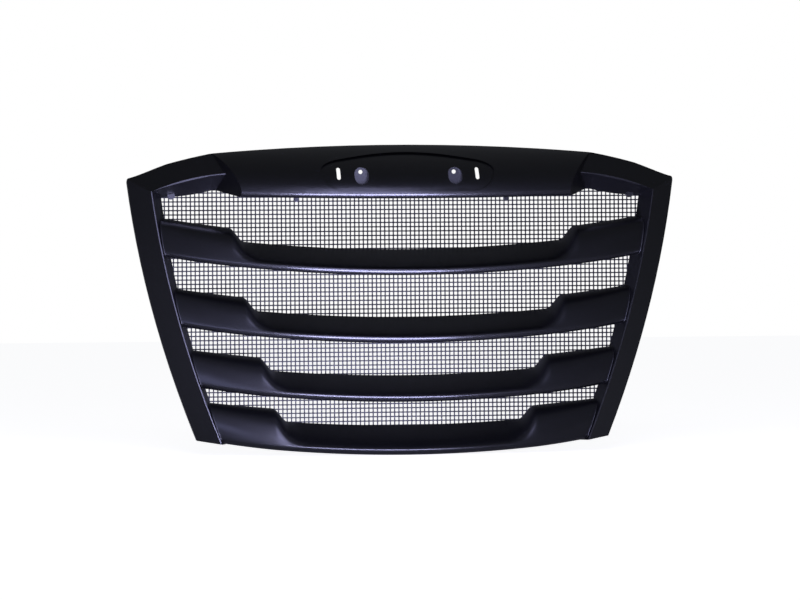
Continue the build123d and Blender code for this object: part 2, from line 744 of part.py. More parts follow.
# ---- Surround ------------------------------------------------------------------------------
with BuildPart() as recess_wall:
    add(HEADER)
    add(header_volume(RECESS_DEPTH + WALL, REAR_Y), mode=Mode.SUBTRACT)
    add(recess_prism(WALL), mode=Mode.INTERSECT)
recess_skin = recess_wall.part.solids().sort_by(SortBy.VOLUME)[-1]

with BuildPart() as recess_cut:
    add(HEADER)
    add(header_volume(RECESS_DEPTH, REAR_Y), mode=Mode.SUBTRACT)
    add(recess_prism(0), mode=Mode.INTERSECT)
recess_hollow = recess_cut.part.solids().sort_by(SortBy.VOLUME)[-1]

with BuildPart() as bowls:
    with BuildSketch(Plane.XZ.offset(-SCREEN_Y + BOWL_FLOOR - WALL)):
        with Locations((BADGE_SPACING / 2, BOWL_Z), (-BADGE_SPACING / 2, BOWL_Z)):
            SlotOverall(BOWL_HEIGHT + 2 * WALL, 2 * (BOWL_R + WALL), rotation=90)
    extrude(amount=FAR)
    add(HEADER, mode=Mode.INTERSECT)

with BuildPart() as bosses:
    for x, z in bracket_places():
        add(tube(x, z, BOSS_R, REAR_Y, REAR_Y - FAR))
    for side in (1, -1):
        add(tube(side * BUMPER_X, BUMPER_Z, BOSS_R, REAR_Y, REAR_Y - FAR))
    for x, z in rim_places():
        add(tube(x, z, BOSS_R, SCREEN_Y, SCREEN_Y - BOSS_DEPTH))
    add(BLOCK, mode=Mode.INTERSECT)

with BuildPart() as ribs:
    rib_front = SCREEN_Y - HEADER_NOSE
    rib_rear = REAR_Y - RIB_BACK
    with Locations(*[(side * x, (rib_front + rib_rear) / 2, ARCH_Z) for x in RIB_X for side in (1, -1)]):
        Box(RIB, rib_rear - rib_front, ARCH_Z)
    add(header_volume(WALL / 2, REAR_Y), mode=Mode.INTERSECT)

with BuildPart() as flange:
    add(opening_sheet(FLANGE, SCREEN_Y, WALL, FOOT_Z - BELOW / 2))
    add(BLOCK, mode=Mode.INTERSECT)

with BuildPart() as tabs:
    for x, z, radius in tab_places():
        with BuildSketch(Plane.XZ.offset(-SCREEN_Y)):
            with Locations((x, z)):
                Circle(radius)
            with Locations((x, (z + OPENING_Z + WALL) / 2)):
                Rectangle(2 * radius, OPENING_Z + WALL - z)
        extrude(amount=WALL)
        add(tube(x, z, radius - RIB / 2, SCREEN_Y, SCREEN_Y - BOSS_DEPTH))

with BuildPart() as surround:
    add(BLOCK)
    add(surround_volume(WALL, REAR_OPEN), mode=Mode.SUBTRACT)
    add(opening_sheet(FLANGE, SCREEN_Y + FAR, FAR, FOOT_Z + WALL), mode=Mode.SUBTRACT)
    add(flange.part)
    add(recess_skin)
    add(bowls.part)
    add(bosses.part)
    add(ribs.part)
    add(tabs.part)
    add(recess_hollow, mode=Mode.SUBTRACT)
    with BuildSketch(Plane.XZ.offset(-SCREEN_Y + BOWL_FLOOR)):
        with Locations((BADGE_SPACING / 2, BOWL_Z), (-BADGE_SPACING / 2, BOWL_Z)):
            SlotOverall(BOWL_HEIGHT, 2 * BOWL_R, rotation=90)
    extrude(amount=FAR, mode=Mode.SUBTRACT)
    with BuildSketch(Plane.XZ.offset(-SCREEN_Y + RIDGE_DEPTH)):
        with Locations((BADGE_SPACING / 2, BADGE_HOLE_Z), (-BADGE_SPACING / 2, BADGE_HOLE_Z)):
            Circle(BADGE_HOLE_R)
        with Locations((SLOT_SPACING / 2, SLOT_Z), (-SLOT_SPACING / 2, SLOT_Z)):
            SlotOverall(SLOT_LENGTH, SLOT_WIDTH, rotation=90)
    extrude(amount=FAR, mode=Mode.SUBTRACT)
    for x, z in bracket_places():
        add(tube(x, z, SCREW_R, REAR_Y, REAR_Y - SCREW_LENGTH), mode=Mode.SUBTRACT)
    for x, z in rim_places() + TAB_PLACES:
        add(tube(x, z, SCREW_R, SCREEN_Y, SCREEN_Y - SCREW_LENGTH + 2 * LAYER), mode=Mode.SUBTRACT)
    for side in (1, -1):
        stem = tube(side * BUMPER_X, BUMPER_Z, BUMPER_STEM_R, REAR_Y, REAR_Y - BUMPER_STEM)
        add(stem, mode=Mode.SUBTRACT)
    for spec in LOUVERS:
        for side, z in end_screws(spec):
            with BuildSketch(rail_wall(side, z, -2 * WALL)):
                Circle(SCREW_R)
            extrude(amount=3 * WALL, mode=Mode.SUBTRACT)
surround.part.label = "surround"

# ---- Louvers -------------------------------------------------------------------------------
with BuildPart() as louver_1:
    add(louver_shell(LOUVERS[0]))
louver_1.part.label = "louver_1"

with BuildPart() as louver_2:
    add(louver_shell(LOUVERS[1]))
louver_2.part.label = "louver_2"

with BuildPart() as louver_3:
    add(louver_shell(LOUVERS[2]))
louver_3.part.label = "louver_3"

with BuildPart() as louver_4:
    add(louver_shell(LOUVERS[3]))
louver_4.part.label = "louver_4"

with BuildPart() as back_bar_1:
    add(back_bar_shape(LOUVERS[0]))
back_bar_1.part.label = "back_bar_1"

with BuildPart() as back_bar_2:
    add(back_bar_shape(LOUVERS[1]))
back_bar_2.part.label = "back_bar_2"

with BuildPart() as back_bar_3:
    add(back_bar_shape(LOUVERS[2]))
back_bar_3.part.label = "back_bar_3"

with BuildPart() as back_bar_4:
    add(back_bar_shape(LOUVERS[3]))
back_bar_4.part.label = "back_bar_4"

# ---- Bug screen ----------------------------------------------------------------------------
with BuildPart() as screen_rim:
    add(opening_sheet(SCREEN_OVERLAP, SCREEN_REAR, 2 * LAYER, SCREEN_BOTTOM_Z))
    inside = opening_sheet(SCREEN_OVERLAP - RIM, SCREEN_REAR, 2 * LAYER, SCREEN_BOTTOM_Z + RIM)
    add(inside, mode=Mode.SUBTRACT)
    for x, z in rim_places():
        add(tube(x, z, SCREW_R, SCREEN_REAR, SCREEN_Y), mode=Mode.SUBTRACT)
screen_rim.part.label = "screen_rim"

with BuildPart() as screen_uprights:
    for x, length, middle in upright_strands():
        with Locations((x, SCREEN_Y + LAYER / 2, middle)):
            Box(STRAND, LAYER, length)
screen_uprights.part.label = "screen_uprights"

with BuildPart() as screen_crossbars:
    for z, half in level_strands():
        with Locations((0, SCREEN_REAR - LAYER / 2, z)):
            Box(2 * half, LAYER, STRAND)
screen_crossbars.part.label = "screen_crossbars"

# ---- Screws --------------------------------------------------------------------------------
with BuildPart() as screen_washers:
    for x, z in BAR_PLACES + TAB_PLACES:
        add(tube(x, z, WASHER_R, SCREEN_REAR + WASHER_T, SCREEN_REAR))
        add(tube(x, z, SCREW_R, SCREEN_REAR + WASHER_T, SCREEN_REAR), mode=Mode.SUBTRACT)
screen_washers.part.label = "screen_washers"

with BuildPart() as louver_screws:
    for x, z in BAR_PLACES:
        add(screw(x, z, SCREEN_REAR + WASHER_T, SCREW_LENGTH))
louver_screws.part.label = "louver_screws"

with BuildPart() as tab_screws:
    for x, z in TAB_PLACES:
        add(screw(x, z, SCREEN_REAR + WASHER_T, SCREW_LENGTH))
tab_screws.part.label = "tab_screws"

with BuildPart() as rim_screws:
    for x, z in rim_places():
        add(screw(x, z, SCREEN_REAR, SCREW_LENGTH))
rim_screws.part.label = "rim_screws"

with BuildPart() as end_screws_right:
    for side, z in END_PLACES:
        if side > 0:
            add(end_screw(side, z))
end_screws_right.part.label = "end_screws_right"

with BuildPart() as end_screws_left:
    for side, z in END_PLACES:
        if side < 0:
            add(end_screw(side, z))
end_screws_left.part.label = "end_screws_left"

# ---- Brackets, bumpers and seal ------------------------------------------------------------
with BuildPart() as upper_bracket_right:
    add(hat_bracket(HOOD_BOLT_X / 2, HOOD_BOLT_Z / 2, False, BRACKET_HALF, False))
upper_bracket_right.part.label = "upper_bracket_right"

with BuildPart() as upper_bracket_left:
    add(hat_bracket(-HOOD_BOLT_X / 2, HOOD_BOLT_Z / 2, False, BRACKET_HALF, False))
upper_bracket_left.part.label = "upper_bracket_left"

with BuildPart() as lower_bracket_right:
    add(hat_bracket(HOOD_BOLT_X / 2, -HOOD_BOLT_Z / 2, True, BRACKET_HALF_LOW, False))
lower_bracket_right.part.label = "lower_bracket_right"

with BuildPart() as lower_bracket_left:
    add(hat_bracket(-HOOD_BOLT_X / 2, -HOOD_BOLT_Z / 2, True, BRACKET_HALF_LOW, False))
lower_bracket_left.part.label = "lower_bracket_left"

with BuildPart() as side_bracket_right:
    add(hat_bracket(SIDE_X, 0, True, BRACKET_HALF, True))
side_bracket_right.part.label = "side_bracket_right"

with BuildPart() as side_bracket_left:
    add(hat_bracket(-SIDE_X, 0, True, BRACKET_HALF, True))
side_bracket_left.part.label = "side_bracket_left"

with BuildPart() as bracket_screws:
    for x, z in bracket_places():
        add(screw(x, z, REAR_Y + PLATE, SCREW_LENGTH))
bracket_screws.part.label = "bracket_screws"

with BuildPart() as bumpers:
    for side in (1, -1):
        add(tube(side * BUMPER_X, BUMPER_Z, BUMPER_R, 0, REAR_Y))
        add(tube(side * BUMPER_X, BUMPER_Z, BUMPER_STEM_R, REAR_Y, REAR_Y - BUMPER_STEM))
bumpers.part.label = "bumpers"

with BuildPart() as hood_seal:
    with BuildLine() as seal_path:
        seal_places = (-SEAL_X, -SEAL_X / 2, 0, SEAL_X / 2, SEAL_X)
        Spline(*[(x, REAR_Y + SEAL_R, top_z(x) - SEAL_R) for x in seal_places])
    with BuildSketch(Plane(origin=seal_path.line @ 0, z_dir=seal_path.line % 0)):
        Circle(SEAL_R)
        Circle(SEAL_R - SEAL_WALL, mode=Mode.SUBTRACT)
    sweep()
hood_seal.part.label = "hood_seal"

# ---- Files ---------------------------------------------------------------------------------
os.makedirs("parts", exist_ok=True)
export_step(surround.part, "parts/surround.step")
export_step(louver_1.part, "parts/louver_1.step")
export_step(louver_2.part, "parts/louver_2.step")
export_step(louver_3.part, "parts/louver_3.step")
export_step(louver_4.part, "parts/louver_4.step")
export_step(back_bar_1.part, "parts/back_bar_1.step")
export_step(back_bar_2.part, "parts/back_bar_2.step")
export_step(back_bar_3.part, "parts/back_bar_3.step")
export_step(back_bar_4.part, "parts/back_bar_4.step")
export_step(screen_rim.part, "parts/screen_rim.step")
export_step(screen_uprights.part, "parts/screen_uprights.step")
export_step(screen_crossbars.part, "parts/screen_crossbars.step")
export_step(screen_washers.part, "parts/screen_washers.step")
export_step(louver_screws.part, "parts/louver_screws.step")
export_step(tab_screws.part, "parts/tab_screws.step")
export_step(rim_screws.part, "parts/rim_screws.step")
export_step(end_screws_right.part, "parts/end_screws_right.step")
export_step(end_screws_left.part, "parts/end_screws_left.step")
export_step(upper_bracket_right.part, "parts/upper_bracket_right.step")
export_step(upper_bracket_left.part, "parts/upper_bracket_left.step")
export_step(lower_bracket_right.part, "parts/lower_bracket_right.step")
export_step(lower_bracket_left.part, "parts/lower_bracket_left.step")
export_step(side_bracket_right.part, "parts/side_bracket_right.step")
export_step(side_bracket_left.part, "parts/side_bracket_left.step")
export_step(bracket_screws.part, "parts/bracket_screws.step")
export_step(bumpers.part, "parts/bumpers.step")
export_step(hood_seal.part, "parts/hood_seal.step")
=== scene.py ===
"""Front grille of a heavy truck: surround, four bowed louvers, bug screen and hardware.

Lengths are worked out in millimetres, as in the CAD model, and turned into metres by MM.
+X is to the right seen from the front, -Y is the front and +Z goes up the screen.
"""

import json
import logging
import math
from dataclasses import dataclass, field
from enum import Enum
from typing import Iterable, Sequence

import bmesh
import bpy
import numpy as np
from mathutils import Matrix, Vector

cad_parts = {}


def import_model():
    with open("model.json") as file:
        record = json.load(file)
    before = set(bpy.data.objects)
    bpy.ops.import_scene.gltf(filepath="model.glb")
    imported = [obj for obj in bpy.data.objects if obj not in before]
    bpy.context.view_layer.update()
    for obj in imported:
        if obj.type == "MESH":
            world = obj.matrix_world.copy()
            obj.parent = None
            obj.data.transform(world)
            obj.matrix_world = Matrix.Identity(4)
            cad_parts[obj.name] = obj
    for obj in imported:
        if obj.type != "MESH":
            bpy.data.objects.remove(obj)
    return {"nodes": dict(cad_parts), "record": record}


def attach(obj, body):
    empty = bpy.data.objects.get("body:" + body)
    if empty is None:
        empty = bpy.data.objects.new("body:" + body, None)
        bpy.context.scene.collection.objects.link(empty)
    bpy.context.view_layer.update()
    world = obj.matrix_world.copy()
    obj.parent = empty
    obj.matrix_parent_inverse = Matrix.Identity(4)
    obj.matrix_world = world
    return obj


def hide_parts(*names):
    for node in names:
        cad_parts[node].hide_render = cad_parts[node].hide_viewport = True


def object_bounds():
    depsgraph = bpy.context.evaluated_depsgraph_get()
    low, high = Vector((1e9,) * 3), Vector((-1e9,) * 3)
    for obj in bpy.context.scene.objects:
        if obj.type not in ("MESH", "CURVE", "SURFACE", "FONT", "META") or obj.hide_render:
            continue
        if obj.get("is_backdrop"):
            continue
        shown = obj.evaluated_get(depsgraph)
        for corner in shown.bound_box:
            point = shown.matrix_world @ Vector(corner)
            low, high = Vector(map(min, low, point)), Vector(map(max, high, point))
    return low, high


LOG = logging.getLogger("grille")
MM = 0.001
FLOOR_GAP = 0.001
CAMERA_TARGET = (-0.0065, -0.04, 0.0)

Point = tuple[float, float, float]
Colour = tuple[float, float, float, float]


class Coat(Enum):
    """The finishes that the object's pieces have."""

    SATIN = "satin_black"
    SCREEN = "screen_black"
    BAR = "bar_steel"
    ZINC = "zinc"
    BRACKET = "bracket_steel"
    RUBBER = "rubber"


def smooth(t: float) -> float:
    """Steps smoothly from 0 at t = 0 to 1 at t = 1.

    Args:
        t: Any number; it is held between 0 and 1.

    Returns:
        The eased value.
    """
    t = min(1.0, max(0.0, t))
    return t * t * (3 - 2 * t)


def bezier(
    a: Sequence[float], b: Sequence[float], c: Sequence[float], d: Sequence[float], count: int
) -> np.ndarray:
    """Samples a cubic Bezier curve.

    Args:
        a: Start point.
        b: First control point.
        c: Second control point.
        d: End point.
        count: How many points to return, both ends included.

    Returns:
        An array of points, one row each.
    """
    t = np.linspace(0.0, 1.0, count)[:, None]
    a, b, c, d = (np.asarray(p, float) for p in (a, b, c, d))
    return (1 - t) ** 3 * a + 3 * (1 - t) ** 2 * t * b + 3 * (1 - t) * t**2 * c + t**3 * d


@dataclass(frozen=True)
class Outline:
    """The shape that every sub-assembly is fitted to, in millimetres.

    A depth is measured forward from the screen's front face.
    """

    half_top: float = 733.0
    half_middle: float = 671.7
    half_foot: float = 552.0
    corner_z: float = 330.5
    foot_z: float = -368.0
    shoulder_x: float = 509.0
    screen_y: float = -40.0
    ridge: float = 60.0
    ridge_in: float = 57.0
    ridge_land: float = 2.5
    ledge_top: float = 29.0
    ledge_foot: float = 16.0
    opening_top: float = 294.0
    opening_drop: float = 17.0
    opening_corner_x: float = 642.0
    plan_radius: float = 1700.0

    def rail_x(self, z: float) -> float:
        """Half width of the outer edge at a height.

        Args:
            z: Height in millimetres.

        Returns:
            The half width, from a parabola through the corner, the middle and the foot.
        """
        up, down = self.corner_z, self.foot_z
        rise = (self.half_top - self.half_middle) / up
        fall = (self.half_middle - self.half_foot) / -down
        bend = (rise - fall) / (up - down)
        slope = rise - bend * up
        return self.half_middle + slope * z + bend * z * z

    def ledge(self, z: float) -> float:
        """Width of the slanted wall inside the ridge at a height."""
        share = (self.corner_z - z) / (self.corner_z - self.foot_z)
        return self.ledge_top + (self.ledge_foot - self.ledge_top) * share

    def wall(self, z: float) -> float:
        """How far the slanted wall leans outward from the screen to the ridge's flat, at a height."""
        return self.ledge(z) - self.ridge_land

    def opening_x(self, z: float) -> float:
        """Half width of the opening at the screen, at a height."""
        return self.rail_x(z) - self.ridge_in - self.ledge(z)

    def opening_z(self, x: float) -> float:
        """Height of the opening's upper edge at the screen."""
        share = (abs(x) - self.shoulder_x) / (self.opening_corner_x - self.shoulder_x)
        share = min(1.0, max(0.0, share))
        return self.opening_top - self.opening_drop * (1 - (1 - share) ** 2)

    def bow(self, x: float) -> float:
        """How far a nose falls back from its depth at the middle."""
        return x * x / (2 * self.plan_radius)


def mesh_object(
    name: str, verts: np.ndarray, faces: Iterable[Sequence[int]], smooth_deg: float
) -> bpy.types.Object:
    """Makes an object of the root body from points in millimetres.

    Args:
        name: Name of the piece.
        verts: Points, one row each.
        faces: Corner numbers of each face.
        smooth_deg: Edges sharper than this stay sharp.

    Returns:
        The new object, linked to the scene.
    """
    mesh = bpy.data.meshes.new(name)
    mesh.from_pydata((np.asarray(verts) * MM).tolist(), [], [list(f) for f in faces])
    mesh.validate()
    obj = bpy.data.objects.new(name, mesh)
    bpy.context.scene.collection.objects.link(obj)
    shade(obj, smooth_deg)
    return obj


def shade(obj: bpy.types.Object, smooth_deg: float) -> None:
    """Smooths an object's faces and keeps its sharp edges sharp.

    Args:
        obj: The object to shade.
        smooth_deg: Edges sharper than this stay sharp.
    """
    obj.data.shade_smooth()
    obj.data.set_sharp_from_angle(angle=math.radians(smooth_deg))


def apply_modifiers(obj: bpy.types.Object) -> None:
    """Turns an object's modifiers into plain mesh."""
    bpy.context.view_layer.update()
    graph = bpy.context.evaluated_depsgraph_get()
    mesh = bpy.data.meshes.new_from_object(obj.evaluated_get(graph))
    obj.modifiers.clear()
    obj.data = mesh


def grid_faces(rows: int, columns: int, first: int = 0) -> list[tuple[int, int, int, int]]:
    """Quads of a grid whose points run row by row.

    Args:
        rows: Number of rows of points.
        columns: Number of points in a row.
        first: Number of the grid's first point.

    Returns:
        Four corner numbers for each quad.
    """
    starts = [first + r * columns + c for r in range(rows - 1) for c in range(columns - 1)]
    return [(n, n + 1, n + columns + 1, n + columns) for n in starts]


# ---- Louvers -------------------------------------------------------------------------------
@dataclass
class Louver:
    """One bowed louver: a scooped blade between two tall end blocks, hollow from behind.

    Sizes are in millimetres. The shape is one section that changes along the louver.
    """

    name: str
    lip: float
    height: float
    block_x: float
    outline: Outline
    end_nose: float = 52.0
    arc: float = 1.25e-4
    end_step: float = 33.0
    step_run: float = 42.0
    scoop_run: float = 82.0
    lip_radius: float = 14.0
    under_slope: float = 0.26
    blade_rear: float = 27.0
    blend_depth: float = 8.0
    rear_depth: float = 3.0
    wall: float = 3.0
    end_gap: float = 1.6
    face_points: int = 26
    lip_points: int = 9
    under_points: int = 7
    edge_round: float = 2.2
    scoop_top: tuple[float, float] = (0.30, 0.20)
    block_top: tuple[float, float] = (0.82, 0.0)
    scoop_face: float = 0.22
    block_face: float = 0.65
    round_pull: float = 0.45

    def end_z(self) -> float:
        """Height of the middle of the end faces."""
        reach = self.outline.rail_x(self.lip) - self.outline.ridge_in
        return self.lip + self.arc * reach**2 + (self.height + self.end_step) / 2

    def half_length(self) -> float:
        """Half length at the nose, where the louver meets the rail."""
        z = self.end_z()
        o = self.outline
        return o.opening_x(z) + o.wall(z) * self.end_nose / o.ridge

    def end_x(self, y: np.ndarray, z: np.ndarray) -> np.ndarray:
        """Half length at each point of the end face, which follows the rail's slanted wall.

        Args:
            y: The points' places from front to back.
            z: Their heights.

        Returns:
            The distance of the end face from the middle at each point.
        """
        o = self.outline
        mid = self.end_z()
        depth = o.screen_y - y
        lean = o.wall(mid) / o.ridge
        slope = (o.rail_x(mid + 10) - o.rail_x(mid - 10)) / 20
        gap = self.end_gap * math.hypot(1, lean)
        return o.opening_x(mid) + lean * depth + slope * (z - mid) - gap

    def section(self, x: float) -> np.ndarray:
        """Points of the louver's outer skin across it at x, from its rear top to its rear foot.

        Args:
            x: Distance from the middle, of either sign.

        Returns:
            One (y, z) row for each point.
        """
        o = self.outline
        full = smooth((abs(x) - self.block_x + self.scoop_run) / self.scoop_run)
        raised = self.end_step * smooth((abs(x) - self.block_x + self.step_run) / self.step_run)
        blade_top = self.lip + self.arc * x * x + self.height
        lip = blade_top - self.height
        crest = blade_top + raised
        nose = o.screen_y - (self.end_nose + o.bow(self.half_length()) - o.bow(x))
        start = o.screen_y - self.blend_depth
        rear = o.screen_y - self.rear_depth
        radius = self.lip_radius
        fall = crest - lip - radius
        deep = start - nose
        under = min(blade_top - self.blade_rear, lip + self.under_slope * (deep - radius))
        pull = self.scoop_top[0] + (self.block_top[0] - self.scoop_top[0]) * full
        drop = self.scoop_top[1] + (self.block_top[1] - self.scoop_top[1]) * full
        face = self.scoop_face + (self.block_face - self.scoop_face) * full
        front = bezier(
            (start, crest), (start - pull * deep, crest - drop * fall),
            (nose, lip + radius + face * fall), (nose, lip + radius), self.face_points,
        )
        rounded = bezier(
            (nose, lip + radius), (nose, lip + self.round_pull * radius),
            (nose + (1 - self.round_pull) * radius, lip), (nose + radius, lip), self.lip_points,
        )
        below = np.linspace((nose + radius, lip), (start, under), self.under_points)
        return np.vstack([[(rear, crest)], front, rounded[1:], below[1:], [(rear, under)]])

    def stations(self) -> list[float]:
        """Places along the louver where a section is drawn, closer where the shape changes fast."""
        reach = self.half_length()
        scoop = self.block_x - self.scoop_run
        inner = list(np.linspace(0, scoop, 13))
        change = list(np.linspace(scoop, self.block_x, 29))[1:]
        outer = list(np.linspace(self.block_x, reach - 2 * self.edge_round, 9))[1:]
        half = inner + change + outer + [reach]
        return [-x for x in reversed(half[1:])] + half

    def skin(self) -> tuple[np.ndarray, int, int]:
        """Points of the outer skin.

        Returns:
            The points, the number of sections and the number of points in each.
        """
        places = self.stations()
        reach = self.half_length()
        rows = []
        for x in places:
            yz = self.section(x)
            along = np.full(len(yz), x)
            if abs(x) > self.block_x:
                share = (abs(x) - self.block_x) / (reach - self.block_x)
                ends = self.end_x(yz[:, 0], yz[:, 1])
                along = math.copysign(1, x) * (self.block_x + share * (ends - self.block_x))
            rows.append(np.column_stack([along, yz]))
        return np.vstack(rows), len(places), len(rows[0])

    def build(self) -> bpy.types.Object:
        """Builds the louver with closed ends and a hollow back.

        Returns:
            The finished piece.
        """
        points, rows, columns = self.skin()
        faces = grid_faces(rows, columns)
        last = (rows - 1) * columns
        faces.append(tuple(range(columns)))
        faces.append(tuple(last + c for c in reversed(range(columns))))
        obj = mesh_object(self.name + "_skin", points, faces, 180)
        round_edges(obj, self.edge_round, 3, 50)
        shell = obj.modifiers.new("wall", "SOLIDIFY")
        shell.thickness = self.wall * MM
        shell.offset = -1.0
        apply_modifiers(obj)
        shade(obj, 38)
        return obj


def round_edges(obj: bpy.types.Object, width: float, segments: int, angle_deg: float) -> None:
    """Adds a bevel to an object's sharp edges.

    Args:
        obj: The object.
        width: Width of the bevel in millimetres.
        segments: Number of faces across the bevel.
        angle_deg: Edges sharper than this are rounded.
    """
    bevel = obj.modifiers.new("rounding", "BEVEL")
    bevel.width = width * MM
    bevel.segments = segments
    bevel.limit_method = "ANGLE"
    bevel.angle_limit = math.radians(angle_deg)
    bevel.harden_normals = False


# ---- Bug screen ----------------------------------------------------------------------------
@dataclass
class BugScreen:
    """The moulded screen: a rim round a mesh of square holes with rounded corners.

    Sizes are in millimetres.
    """

    outline: Outline
    pitch: float = 11.5
    strand: float = 3.3
    thickness: float = 3.0
    rim: float = 11.0
    overlap: float = 19.0
    bottom_z: float = -353.0
    corner: float = 0.9
    round_over: float = 0.6

    def limit_x(self, z: float, grow: float) -> float:
        """Half width of the screen's outline at a height, grown outward."""
        return self.outline.opening_x(z) + grow

    def limit_z(self, x: float, grow: float) -> float:
        """Height of the screen's upper outline, grown outward."""
        return self.outline.opening_z(x) + grow

    def cells(self) -> list[tuple[int, int]]:
        """Column and row numbers of the holes inside the rim."""
        inside = self.overlap - self.rim + self.strand
        wide = int(self.outline.half_top / self.pitch)
        found = []
        for row in range(math.floor((self.bottom_z + self.rim - self.strand) / self.pitch), wide):
            z = (row + 0.5) * self.pitch
            for column in range(-wide, wide):
                x = (column + 0.5) * self.pitch
                if z < self.limit_z(x, inside) and abs(x) < self.limit_x(z, inside):
                    found.append((column, row))
        return found

    def build_mesh(self) -> bpy.types.Object:
        """Builds the strands as a plate with one rounded square hole in each cell."""
        half = (self.pitch - self.strand) / 2
        cut = half - self.corner
        ring = [
            (half, -cut), (half, cut), (cut, half), (-cut, half),
            (-half, cut), (-half, -cut), (-cut, -half), (cut, -half),
        ]
        front = self.outline.screen_y
        back = front + self.thickness
        crown = {}
        verts: list[Point] = []
        faces: list[tuple[int, ...]] = []

        def node(column: int, row: int, y: float) -> int:
            """Number of the shared point where four cells meet."""
            key = (column, row, y)
            if key not in crown:
                crown[key] = len(verts)
                verts.append((column * self.pitch, y, row * self.pitch))
            return crown[key]

        for column, row in self.cells():
            x, z = (column + 0.5) * self.pitch, (row + 0.5) * self.pitch
            rings = []
            for y in (front + self.round_over, back - self.round_over):
                rings.append(len(verts))
                verts.extend((x + dx, y, z + dz) for dx, dz in ring)
            for y, start, turn in ((front, rings[0], 1), (back, rings[1], -1)):
                corners = [node(column + i, row + j, y) for i, j in ((1, 0), (1, 1), (0, 1), (0, 0))]
                for n in range(4):
                    a, b = start + 2 * n, start + 2 * n + 1
                    after = start + (2 * n + 2) % 8
                    before = corners[n]
                    ahead = corners[(n + 1) % 4]
                    faces.append((before, ahead, b, a)[::turn])
                    faces.append((ahead, after, b)[::turn])
            for n in range(8):
                m = (n + 1) % 8
                faces.append((rings[0] + n, rings[0] + m, rings[1] + m, rings[1] + n))
        obj = mesh_object("screen_mesh", np.array(verts), faces, 180)
        fix_normals(obj)
        shade(obj, 60)
        return obj

    def rim_loop(self, grow: float) -> list[tuple[float, float]]:
        """Points round the screen's outline, grown outward, from the lower right up and over to the left.

        Args:
            grow: Distance outward from the opening's edge.

        Returns:
            One (x, z) pair for each point.
        """
        foot = self.bottom_z + (self.overlap - grow)
        z = self.outline.opening_top
        for _ in range(6):
            z = self.limit_z(self.limit_x(z, 0), grow)
        side = [(self.limit_x(h, grow), h) for h in np.linspace(foot, z, 40)]
        top = [(x, self.limit_z(x, grow)) for x in np.linspace(side[-1][0], 0, 60)[1:]]
        right = side + top
        return right + [(-x, h) for x, h in reversed(right[:-1])]

    def build_rim(self) -> bpy.types.Object:
        """Builds the flat rim, with rounded edges."""
        inner = self.rim_loop(self.overlap - self.rim)
        outer = self.rim_loop(self.overlap)
        front = self.outline.screen_y
        back = front + self.thickness
        count = len(inner)
        verts = [(x, y, z) for y in (front, back) for loop in (inner, outer) for x, z in loop]
        faces = []
        for n in range(count):
            m = (n + 1) % count
            faces.append((n, m, count + m, count + n))
            faces.append((2 * count + n, 3 * count + n, 3 * count + m, 2 * count + m))
            faces.append((n, 2 * count + n, 2 * count + m, m))
            faces.append((count + n, count + m, 3 * count + m, 3 * count + n))
        obj = mesh_object("screen_frame", np.array(verts), faces, 180)
        fix_normals(obj)
        round_edges(obj, self.round_over, 2, 40)
        apply_modifiers(obj)
        shade(obj, 50)
        return obj


def fix_normals(obj: bpy.types.Object) -> None:
    """Turns all faces outward."""
    work = bmesh.new()
    work.from_mesh(obj.data)
    bmesh.ops.recalc_face_normals(work, faces=work.faces)
    work.to_mesh(obj.data)
    work.free()


# ---- Finishes ------------------------------------------------------------------------------
def socket(group: bpy.types.NodeTree, name: str, way: str, kind: str, value: float | None = None) -> None:
    """Adds a named input or output to a shader node group.

    Args:
        group: The node group.
        name: Name of the socket.
        way: INPUT or OUTPUT.
        kind: Blender's socket type.
        value: Default value of a float input.
    """
    made = group.interface.new_socket(name=name, in_out=way, socket_type=kind)
    if value is not None:
        made.default_value = value


